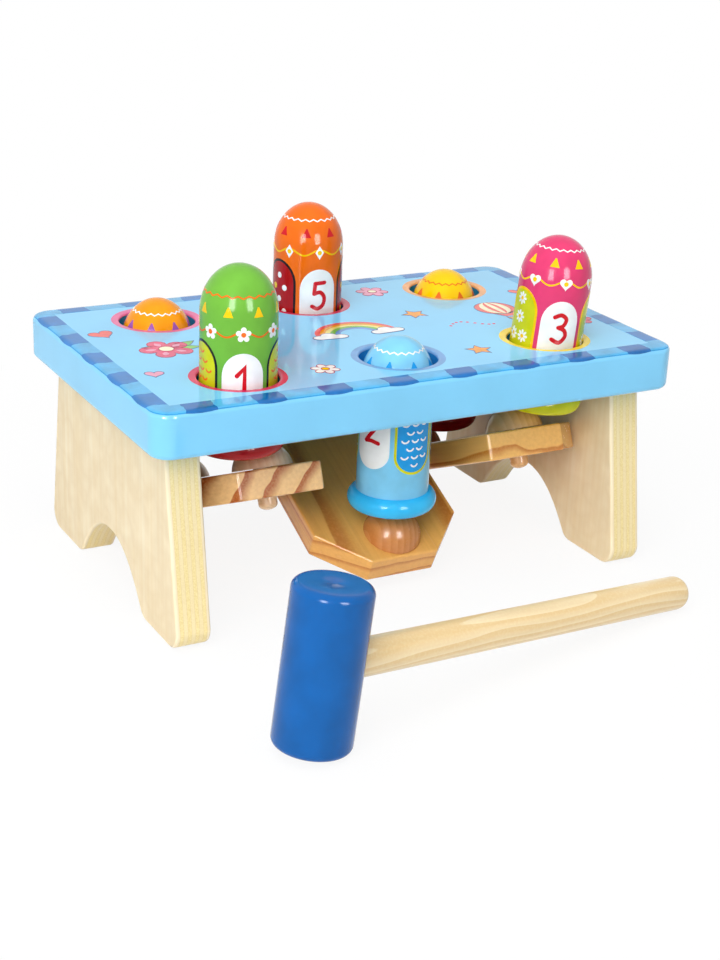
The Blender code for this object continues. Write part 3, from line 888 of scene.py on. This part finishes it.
def make_rings(sheet):
    """The painted ring on each hole's mouth, which goes over the rim and a little way down the wall."""
    rim, radius = HOLE_RIM_RADIUS, HOLE_RADIUS + HOLE_RIM_RADIUS
    outer = arc((radius, -rim), (rim + LAYER, rim + LAYER), 180, 90, 6)
    inner = arc((radius, -rim), (rim - LAYER_SEAT, rim - LAYER_SEAT), 90, 180, 6)
    profile = outer + [(RING_RADIUS, LAYER), (RING_RADIUS, -LAYER_SEAT)] + inner
    for (column, row), (x, y) in hole_places().items():
        mesh = lathe(f"ring_{column}_{row}", profile, closed=True)
        for vertex in mesh.vertices:
            if hypot(vertex.co.x, vertex.co.y) > RING_RADIUS - MM:
                angle = atan2(vertex.co.y, vertex.co.x)
                wander = 1 + 0.005 * sin(3 * angle + x) + 0.003 * sin(7 * angle + y)
                vertex.co.x *= wander
                vertex.co.y *= wander
        add_piece(f"ring_{column}_{row}", mesh, "bench", [paint(PEGS[column, row].ring)],
                  place=Matrix.Translation(sheet.middle + Vector((x, y, 0.0))))


def band_places(inset):
    """Points all round the board at an inset in millimetres, near enough to each other to waver."""
    corners = [(x / MM, y / MM) for x, y in rounded_outline(inset * MM)]
    points = []
    for start, end in zip(corners, corners[1:] + corners[:1]):
        steps = max(1, round(dist(start, end) / BAND_STEP))
        points += [tuple(Vector(start).lerp(Vector(end), step / steps)) for step in range(steps)]
    return points


def band_limit(point):
    """The place on the band's wavering inner line that a point on its outer line faces."""
    limits = [half - BAND_INSET for half in HALF_BOARD]
    held = [max(-limit, min(limit, part)) for limit, part in zip(limits, point)]
    spot = list(held)
    for axis, part in enumerate(held):
        if abs(part) == limits[axis]:
            spot[axis] += copysign(0.2 * waver(held[1 - axis] + 9 * axis), part)
    return tuple(spot)


def band_patch(shapes, side, centre, width, skew):
    """A brushed square across the band. Sides 0 to 3 are the front, right, back and left ones."""
    along, across = (0, 1) if side % 2 == 0 else (1, 0)
    sign = 1 if side in (1, 2) else -1
    rows = []
    for inset in SQUARE_INSETS:
        lean = skew * (inset - SQUARE_MIDDLE)
        start = centre - width / 2 + lean + 0.5 * waver(5 * inset + centre)
        end = centre + width / 2 + lean + 0.5 * waver(4 * inset - centre)
        row = []
        for step in range(5):
            point = [0.0, 0.0]
            point[along] = start + (end - start) * step / 4
            bulge = SQUARE_BULGE * (1 - (step / 2 - 1) ** 2)
            shift = 0.15 * waver(point[along]) if inset > SQUARE_MIDDLE else -bulge
            point[across] = sign * (HALF_BOARD[across] - inset - shift)
            row.append(tuple(point))
        rows.append(row)
    shapes.grid(rows)


def make_border(sheet):
    """The washed band along the board's edges, rolling over the rounded edge in a deeper ink that paints how
    it looks where the top's reflection fades, and the brushed squares across.
    """
    pens = Pens("border", sheet, ink, "bench", "blue_lacquer")
    band = [band_places(inset) for inset in BAND_CURVE]
    band.append([band_limit(point) for point in band[0]])
    pens.pen(BAND_BLUE, 1, "band").grid([row + row[:1] for row in band])
    # Painted reflection difference: the band rolls over the rounded edge in a deeper ink, which is how it
    # looks where the top's reflection fades
    line = [band_places(inset) for inset in EDGE_CURVE]
    pens.pen(BAND_EDGE_WITHOUT_GLARE, 1, "edge_line").grid([row + row[:1] for row in line])
    others, front = pens.pen(SQUARE_BLUE, 2, "squares"), pens.pen(FRONT_SQUARE, 2, "front_squares")
    for count, place in enumerate(SQUARES_ALONG):
        band_patch(front, 0, place, LONG_SIDE_SQUARE, 0.08 * (-1) ** count)
        band_patch(others, 2, place, LONG_SIDE_SQUARE, 0.10 * (-1) ** (count // 2))
    for count, place in enumerate(SQUARES_ACROSS):
        band_patch(others, 1, place, SHORT_SIDE_SQUARE, 0.09 * (-1) ** count)
        band_patch(others, 3, place, SHORT_SIDE_SQUARE, -0.09 * (-1) ** count)
    pens.lay()


def draw_rainbow(pens, at):
    """Five bows that stand on a cloud at each end."""
    for count, colour in enumerate((CORAL, AMBER, PALE_YELLOW, LEAF, SLATE)):
        radius = 18.5 - 2.3 * count
        pens.pen(colour, 1).line(arc(at, (radius, radius * 0.9), 0, 180, 30), 2.3)
    for side in (-1, 1):
        pens.draw(WHITE, 3, turned(cloud(17.0), 4 * side, (at[0] + 14.0 * side, at[1] - 0.5)), FINE_LINE)


def draw_blossom(pens, at, radius, petals, colour, middle, turn):
    """A flower, with a paler fleck on each petal where it is large."""
    pens.draw(colour, 2, turned(flower(petals, radius), turn, at), DEEP_ROSE)
    for petal in range(petals if radius > 8 else 0):
        way = turn + 360 * petal / petals
        foot = turned([(0, 0.36 * radius)], way, at)[0]
        pens.pen(PALE_ROSE, 3).fill(turned(leaf(0.42 * radius, 0.24 * radius), way, foot))
    pens.draw(middle, 4, turned(disc(0.28 * radius), 0, at), DEEP_ROSE)


def draw_balloon(pens, at):
    """A striped hot-air balloon with its basket."""
    x, y = at
    pens.draw(CORAL, 1, turned(disc(BALLOON_RADIUS, 40), 0, at), FINE_LINE)
    pens.draw(CORAL, 1, [(x - 5.6, y - 7.6), (x + 5.6, y - 7.6), (x + 2.2, y - 13.0), (x - 2.2, y - 13.0)])
    for layer, reach, colour in ((3, 6.4, CREAM), (4, 3.3, CORAL), (5, 1.3, CREAM)):
        stripe = arc((0.0, 0.0), (reach, BALLOON_RADIUS - 0.3), 0, 360, 36)[:-1]
        pens.pen(colour, layer).fill(turned(stripe, 0, at))
    for side in (-1, 1):
        rope = [(x + side * 5.6, y - 7.6), (x + side * 2.2, y - 13.0), (x + side * 2.0, y - 15.0)]
        pens.pen(FINE_LINE, 2).line(rope, FINE_STROKE)
    basket = [(x - 2.6, y - 15.0), (x + 2.6, y - 15.0), (x + 2.1, y - 18.6), (x - 2.1, y - 18.6)]
    pens.draw(BASKET, 2, basket, FINE_LINE)


def make_motifs(sheet):
    """A nursery print on the board: a rainbow, blossoms, a balloon, stars, hearts and a cloud."""
    pens = Pens("board_print", sheet, ink, "bench", "blue_lacquer")
    draw_rainbow(pens, (0.0, -8.0))
    draw_balloon(pens, (78.0, 5.5))
    for turn, length in ((-62, 15.0), (-96, 13.0), (64, 12.0)):
        pens.draw(LEAF, 1, turned(leaf(length, 5.6), turn, (-84.0, 1.0)), FINE_LINE)
    for blossom in (((-86.0, 1.0), 11.5, 5, ROSE, CREAM, 12), ((-56.0, -6.0), 5.2, 5, WHITE, YELLOW, 30),
                    ((38.0, 50.0), 7.6, 6, PALE_ROSE, CREAM, 8), ((104.0, -24.0), 6.8, 5, ROSE, CREAM, -14),
                    ((-36.5, -47.0), 6.0, 6, WHITE, YELLOW, 0)):
        draw_blossom(pens, *blossom)
    for colour, outline, turn, at in (
            (WHITE, cloud(20.0), -4, (-37.0, 49.0)), (AMBER, star(6.2), 12, (38.0, 10.0)),
            (AMBER, star(6.0), -10, (37.0, -47.0)), (YELLOW, star(4.4), 8, (-38.0, 12.0)),
            (CORAL, heart(5.6), 12, (-103.5, 30.0)), (PALE_ROSE, heart(4.0), -14, (-103.0, -28.0)),
            (CORAL, heart(4.6), -10, (104.0, 26.0))):
        pens.draw(colour, 1, turned(outline, turn, at), FINE_LINE)
    for colour, x, y, length, bends in ((ROSE, 44.0, -12.0, 20.0, 5.0), (SLATE, -66.0, 12.0, 34.0, 6.0)):
        for share in (count / 8 for count in range(9)):
            pens.pen(colour, 1).fill(disc(0.8, 10), (x + length * share, y + 4.0 * sin(bends * share)))
    pens.lay()


# Legs and rockers

def arch_half():
    """Half of a leg's arch, from its foot's rounded inner corner up to the crown."""
    slope = atan(ARCH_POWER * ARCH_HEIGHT / ARCH_HALF_WIDTH)
    radius = FOOT_INNER_RADIUS
    centre = (ARCH_HALF_WIDTH + radius * tan(slope / 2), radius)
    points = arc(centre, (radius, radius), -90, -90 - degrees(slope), CORNER_STEPS)
    for step in range(ARCH_STEPS + 1):
        share = cos(radians(90 * step / ARCH_STEPS))
        height = ARCH_HEIGHT * (1 - share ** ARCH_POWER)
        if height > points[-1][1]:
            points.append((ARCH_HALF_WIDTH * share, height))
    return points


def leg_outline():
    """A leg from the side, as (depth, height) pairs, about the bench's middle."""
    radius = FOOT_OUTER_RADIUS
    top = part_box("leg_left")[1][2]
    rim = arc((LEG_FOOT_HALF_DEPTH - radius, radius), (radius, radius), 0, -90, CORNER_STEPS)
    right = [(LEG_TOP_HALF_DEPTH, top)] + rim + arch_half()
    return right + [(-depth, height) for depth, height in reversed(right[:-1])]


def make_legs():
    """The two arched leg panels."""
    onto_side = Matrix(((0, 0, 1, 0), (1, 0, 0, 0), (0, 1, 0, 0), (0, 0, 0, 1)))
    ply = plywood("plywood")
    outline = filleted(leg_outline(), CORNER_SOFTNESS * LEG_EDGE_RADIUS)
    for node in ("leg_left", "leg_right"):
        low, high = (Vector(corner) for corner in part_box(node))
        mesh = slab(node + "_ply", outline, [], high.x - low.x, LEG_EDGE_RADIUS, 0.0)
        mesh.transform(onto_side)
        place = Matrix.Translation(((low.x + high.x) / 2, (low.y + high.y) / 2, 0.0))
        even_normals(add_piece(node + "_ply", mesh, "bench", [ply], node, place))


def plate_outline(column):
    """A plate with its corners cut off. The outer two reach further outwards than inwards."""
    end, shoulder = PLATE_HALF_LENGTH, PLATE_SHOULDER
    if column == "middle":
        quarter = [(MIDDLE_PLATE_SIDE, shoulder), (MIDDLE_PLATE_CORNER, end)]
        half = quarter + [(-x, y) for x, y in reversed(quarter)]
    else:
        half = [(OUTER_PLATE_SIDES[1], shoulder), (OUTER_PLATE_CORNER, end), (OUTER_PLATE_SIDES[0], end)]
    outline = half + [(x, -y) for x, y in reversed(half)]
    return [(-x, y) for x, y in outline] if column == "left" else outline


def knob_profile():
    """A knob's ball and its shank, which ends in a low dome."""
    rim_angle = degrees(asin((KNOB_BASE - KNOB_CENTRE) / KNOB_RADIUS))
    ball = arc((0.0, KNOB_CENTRE), (KNOB_RADIUS, KNOB_RADIUS), 90, rim_angle, 18)
    dome = SHANK_RADIUS * 0.6
    return ball + [(SHANK_RADIUS, KNOB_BASE)] + arc((0.0, SHANK_TIP + dome), (SHANK_RADIUS, dome), 0, -90, 6)


def make_rockers(middle):
    """The plates with their knobs, each in its own tilted frame on the pivot."""
    for column, knob_x in KNOB_COLUMNS.items():
        place = Matrix.Translation((0.0, middle.y, PIVOT_HEIGHT))
        place @= Matrix.Rotation(radians(PLATE_TILTS[column]), 4, "X")
        knobs = [(knob_x, way * KNOB_ARM) for way in ROWS.values()]
        outline = filleted(plate_outline(column), CORNER_SOFTNESS * PLATE_EDGE_RADIUS)
        mesh = slab(f"plate_{column}", outline, [(knob, SHANK_BORE_RADIUS) for knob in knobs],
                    PLATE_THICKNESS, PLATE_EDGE_RADIUS, PLATE_EDGE_RADIUS / 4)
        pine, beech = grained_wood(f"pine_{column}"), grained_wood(f"beech_{column}")
        body = f"rocker_{column}"
        even_normals(add_piece(f"plate_{column}", mesh, body, [pine, pine],
                               f"rocker_plate_{column}", place))
        for row, knob in zip(ROWS, knobs):
            node = f"knob_{column}_{row}"
            add_piece(node + "_turned", lathe("knob", knob_profile()), body, [beech], node,
                      place @ Matrix.Translation((*knob, 0.0)))


# Pegs

def peg_matrix(column, row):
    """A peg's own frame. The loose one leans in its hole."""
    if (column, row) == ("right", "front"):
        return Matrix.Translation(LOOSE_PEG_FOOT) @ Matrix.Rotation(LOOSE_PEG_LEAN, 4, "Y")
    low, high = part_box(f"peg_{column}_{row}")
    return Matrix.Translation(((low[0] + high[0]) / 2, (low[1] + high[1]) / 2, low[2]))


def peg_mesh(name):
    """A domed peg with a bulged flange at its foot, of the second material."""
    shoulder = PEG_LENGTH - DOME_HEIGHT
    dome = arc((0.0, shoulder), (PEG_RADIUS, DOME_HEIGHT), 90, 0, 22)
    shaft = [(PEG_RADIUS, shoulder - share * (shoulder - FLANGE_HEIGHT) / 6) for share in range(1, 6)]
    roll = FLANGE_RADIUS - PEG_RADIUS
    flange = arc((PEG_RADIUS, FLANGE_HEIGHT / 2), (roll, FLANGE_HEIGHT / 2), 90, -90, 16)
    mesh = lathe(name, dome + shaft + flange + [(0.0, 0.0)])
    for face in mesh.polygons:
        face.material_index = int(face.center.z < FLANGE_HEIGHT)
    return mesh


# Marks within a panel: the pitch of their rows, how far they lie from its middle, and the number of rows
MARKS = {"scales": (3.6, 2.3, 8), "dots": (5.4, 3.3, 5), "daisies": (8.0, 3.2, 4)}
BELT_SHAPES = {"flowers": flower(5, 3.1), "dots": disc(1.9), "hearts": heart(2.8),
               "diamonds": [(2.0, 0.0), (0.0, 3.0), (-2.0, 0.0), (0.0, -3.0)]}


def draw_marks(kind, inked, second, foot):
    """Small marks within a panel, in staggered rows: scales, dots or daisies."""
    pitch, spread, rows = MARKS[kind]
    for row in range(rows):
        wide = kind == "scales" and row % 2 and 0 < row < rows - 1
        spots = (-2 * spread, 0.0, 2 * spread) if wide else (-spread, spread)
        if row in (0, rows - 1) or (kind != "scales" and row % 2 == 0):
            spots = (0.0,)
        for count, spot in enumerate(spots):
            at = (foot[0] + spot, foot[1] + 4.6 + pitch * row)
            if kind == "scales":
                inked.line(arc((0.0, 0.0), (1.6, 1.5), 205, 335, 7), 0.7, at)
            elif kind == "dots":
                (second if (row + count) % 2 else inked).fill(disc(1.35, 16), at)
            else:
                inked.fill(flower(8, 2.9, 0.66, 6), at)
                second.fill(disc(0.9, 12), at)


def draw_panels(pens, look):
    """Marked panels all round a peg but where its badge is."""
    outline = capsule(PANEL_WIDTH, PANEL_SPAN[0] + look.rise, PANEL_SPAN[1] + look.rise)
    for count in range(1, PANEL_COUNT):
        centre = ROUND_WAY * count / PANEL_COUNT
        pens.pen(look.panel, 1, "panels").fill(outline, (centre, 0.0))
        pens.pen(look.rim, 2, "rims").line(outline, PANEL_RIM, (centre, 0.0), closed=True)
        marks, spots = pens.pen(look.mark, 2, "marks"), pens.pen(YELLOW, 3, "spots")
        draw_marks(look.marks, marks, spots, (centre, PANEL_SPAN[0] + look.rise))


def draw_badge(pens, look):
    """A white badge with the peg's number."""
    outline = capsule(BADGE_WIDTH, BADGE_SPAN[0] + look.rise, BADGE_SPAN[1] + look.rise)
    pens.pen(WHITE, 1, "badge").fill(outline)
    at = (0.0, NUMBER_HEIGHT + look.rise)
    for count, stroke in enumerate(STROKES[look.number]):
        line = stroke if look.number in CORNERED else smoothed(stroke)
        pens.pen(RED, 2, "number").line(line, NUMBER_STROKE, at, rise=0.2 * count)


def ring_of(sheet, shapes, outline, number, height, offset=0.0):
    """Put an outline all round a peg at one height."""
    squeeze = PEG_RADIUS / sheet.spot(height * MM)[0]
    for count in range(number):
        shapes.fill(outline, (ROUND_WAY * (count + offset) / number, height), squeeze=squeeze)


def draw_belts(pens, look):
    """The crown's points, the zigzag and the garland, all round a peg's dome."""
    crown, zigzag, belt = (height + look.rise for height in (CROWN_HEIGHT, ZIGZAG_HEIGHT, BELT_HEIGHT))
    ring_of(pens.sheet, pens.pen(look.crown, 1, "crown"), CROWN_POINT, CROWN_COUNT, crown, 0.5)
    teeth = [(ROUND_WAY * step / ZIGZAG_STEPS, zigzag + (0.5 if step % 2 else -0.5))
             for step in range(ZIGZAG_STEPS + 1)]
    pens.pen(look.zigzag, 1, "zigzag").line(teeth, 0.6)
    wave = [(ROUND_WAY * step / WAVE_STEPS,
             belt + WAVE_HEIGHT * cos(2 * BELT_COUNT * pi * step / WAVE_STEPS))
            for step in range(WAVE_STEPS + 1)]
    pens.pen(look.wave, 1, "garland").line(wave, 0.7)
    ring_of(pens.sheet, pens.pen(WHITE, 2, "belt"), BELT_SHAPES[look.belt], BELT_COUNT, belt)
    ring_of(pens.sheet, pens.pen(look.wave, 3, "belt_hearts"), disc(1.0, 12), BELT_COUNT, belt)


def make_peg(column, row, look):
    """A turned peg with all its paint."""
    body = f"peg_{column}_{row}"
    matrix = peg_matrix(column, row)
    mesh = peg_mesh(f"{body}_turned")
    mesh.transform(matrix)
    skins = [gloss_paint(f"{body}_body", look.body, matrix), gloss_paint(f"{body}_foot", look.foot, matrix)]
    add_piece(f"{body}_turned", mesh, body, skins, body)
    pens = Pens(body, PegSheet(matrix, look.facing), gloss_paint, body, look.slot)
    draw_panels(pens, look)
    draw_badge(pens, look)
    draw_belts(pens, look)
    pens.lay()


# Mallet

def bore(piece, place, profile):
    """Cut a turned hole in a piece."""
    drill = linked("socket", lathe("socket", profile), place)
    bpy.context.view_layer.update()
    cut = piece.modifiers.new("socket", "BOOLEAN")
    cut.solver = "EXACT"
    cut.object = drill
    graph = bpy.context.evaluated_depsgraph_get()
    piece.data = bpy.data.meshes.new_from_object(piece.evaluated_get(graph))
    piece.modifiers.clear()
    bpy.data.objects.remove(drill, do_unlink=True)


def make_head(place, lying):
    """The mallet's head, with a dimple in its top and the socket of its handle."""
    radius, edge = HEAD_RADIUS, HEAD_EDGE_RADIUS
    top = arc((radius - edge, HEAD_LENGTH - edge), (edge, edge), 90, 0, 8)
    bottom = arc((radius - edge, edge), (edge, edge), 0, -90, 8)
    profile = [(reach, HEAD_LENGTH - depth) for reach, depth in HEAD_DIMPLE] + top
    profile += [(radius, HEAD_LENGTH * share) for share in (0.75, 0.5, 0.25)] + bottom + [(0.0, 0.0)]
    mesh = lathe("mallet_head_turned", profile)
    mesh.transform(place)
    head = add_piece("mallet_head_turned", mesh, "mallet",
                     [gloss_paint("mallet_blue", MALLET_BLUE, place)], "mallet_head")
    inner, outer, reach = HANDLE_INNER_END - TOUCH, HEAD_RADIUS + 2 * MM, HANDLE_RADIUS + TOUCH / 2
    bore(head, lying, [(0.0, outer), (reach, outer), (reach, inner), (0.0, inner)])


def make_handle(lying):
    """The mallet's handle, with its far end rounded."""
    tip = HANDLE_END_RADIUS
    end = arc((HANDLE_RADIUS - tip, HANDLE_REACH - tip), (tip, tip), 90, 0, 8)
    shaft = [(HANDLE_RADIUS, HANDLE_INNER_END + (HANDLE_REACH - tip - HANDLE_INNER_END) * share / 8)
             for share in range(7, -1, -1)]
    mesh = lathe("mallet_handle_turned", [(0.0, HANDLE_REACH)] + end + shaft + [(0.0, HANDLE_INNER_END)])
    mesh.transform(lying)
    add_piece("mallet_handle_turned", mesh, "mallet", [grained_wood("handle_wood", lying)],
              "mallet_handle")


def make_mallet():
    place = Matrix.Translation(STAND_PLACE) @ Matrix.Rotation(MALLET_TURN, 4, "Z")
    place @= Matrix.Rotation(MALLET_TIP, 4, "Y")
    lying = place @ Matrix.Translation((0.0, 0.0, HEAD_LENGTH / 2)) @ Matrix.Rotation(pi / 2, 4, "Y")
    make_head(place, lying)
    make_handle(lying)


def dress_hidden_nodes():
    """Dowels and rod keep their solids, and get their wood and steel."""
    birch, rod = grained_wood("dowel_birch"), steel("rod_steel")
    for name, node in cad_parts.items():
        if name.startswith("leg_dowel") or name == "pivot_rod":
            node.data.materials.clear()
            node.data.materials.append(rod if name == "pivot_rod" else birch)


# Stage, light and camera

def make_floor():
    """A white floor that keeps the toy's shadow near it, and is plain white further off."""
    mesh = bpy.data.meshes.new("floor")
    mesh.from_pydata([(-6, -6, 0), (6, -6, 0), (6, 6, 0), (-6, 6, 0)], [], [(0, 1, 2, 3)])
    floor = linked("floor", mesh)
    finish = Finish("floor")
    finish.feed(finish.shader, {"Base Color": (246, 246, 246), "Roughness": 0.9, "Specular IOR Level": 0.0})
    glow = finish.add("Emission", {"Color": (255, 255, 255), "Strength": 1.0})
    far = finish.add("VectorMath", {0: finish.place}, output="Value", operation="LENGTH")
    share = finish.math("MULTIPLY", finish.seen_directly(), finish.spread(far, *FLOOR_FADE, FLOOR_GLOW, 1.0))
    blend = finish.add("MixShader", {0: share, 1: finish.shader.outputs[0], 2: glow})
    finish.feed(finish.tree.nodes["Material Output"], {"Surface": blend})
    mesh.materials.append(finish.material)


def make_world():
    """A white surround, which lights the toy only a little."""
    world = bpy.data.worlds.new("surround")
    bpy.context.scene.world = world
    world.use_nodes = True
    nodes = Nodes(world.node_tree)
    strength = nodes.spread(nodes.seen_directly(), 0.0, 1.0, SKY_FILL, 1.0)
    nodes.feed(nodes.tree.nodes["Background"], {"Color": (255, 255, 255), "Strength": strength})


def make_lamp(name, azimuth, elevation, distance, size, radiance, role):
    """A soft box that faces the bench."""
    light = bpy.data.lights.new(name, "AREA")
    light.shape = "RECTANGLE"
    light.size, light.size_y = size
    light.energy = radiance * pi * size[0] * size[1]
    lamp = linked(name, light)
    a, e = radians(azimuth), radians(elevation)
    way = Vector((sin(a) * cos(e), -cos(a) * cos(e), sin(e)))
    lamp.location = Vector(LAMP_AIM) + way * distance
    lamp.rotation_mode = "QUATERNION"
    lamp.rotation_quaternion = way.to_track_quat("Z", "Y")
    lamp.visible_camera = False
    lamp.visible_glossy = role == "shine"
    lamp.visible_diffuse = role == "light"


def make_camera():
    """The photograph's camera."""
    data = bpy.data.cameras.new("camera")
    data.sensor_width = 36.0
    data.lens = FOCAL_PIXELS * data.sensor_width / IMAGE_LONG_SIDE
    data.shift_x = (IMAGE_MIDDLE[0] - OPTICAL_AXIS[0]) / IMAGE_LONG_SIDE
    data.shift_y = (OPTICAL_AXIS[1] - IMAGE_MIDDLE[1]) / IMAGE_LONG_SIDE
    camera = linked("camera", data)
    camera.location = CAMERA_PLACE
    camera.rotation_euler = CAMERA_TURN
    bpy.context.scene.camera = camera


def main():
    """Build the whole scene."""
    bpy.context.scene.view_settings.view_transform = "Standard"
    make_camera()
    make_world()
    for name, setting in LAMPS.items():
        make_lamp(name, *setting)
    make_floor()
    make_board()
    sheet = BoardSheet()
    make_border(sheet)
    make_rings(sheet)
    make_motifs(sheet)
    make_legs()
    make_rockers(sheet.middle)
    for (column, row), look in PEGS.items():
        make_peg(column, row, look)
    make_mallet()
    dress_hidden_nodes()


main()
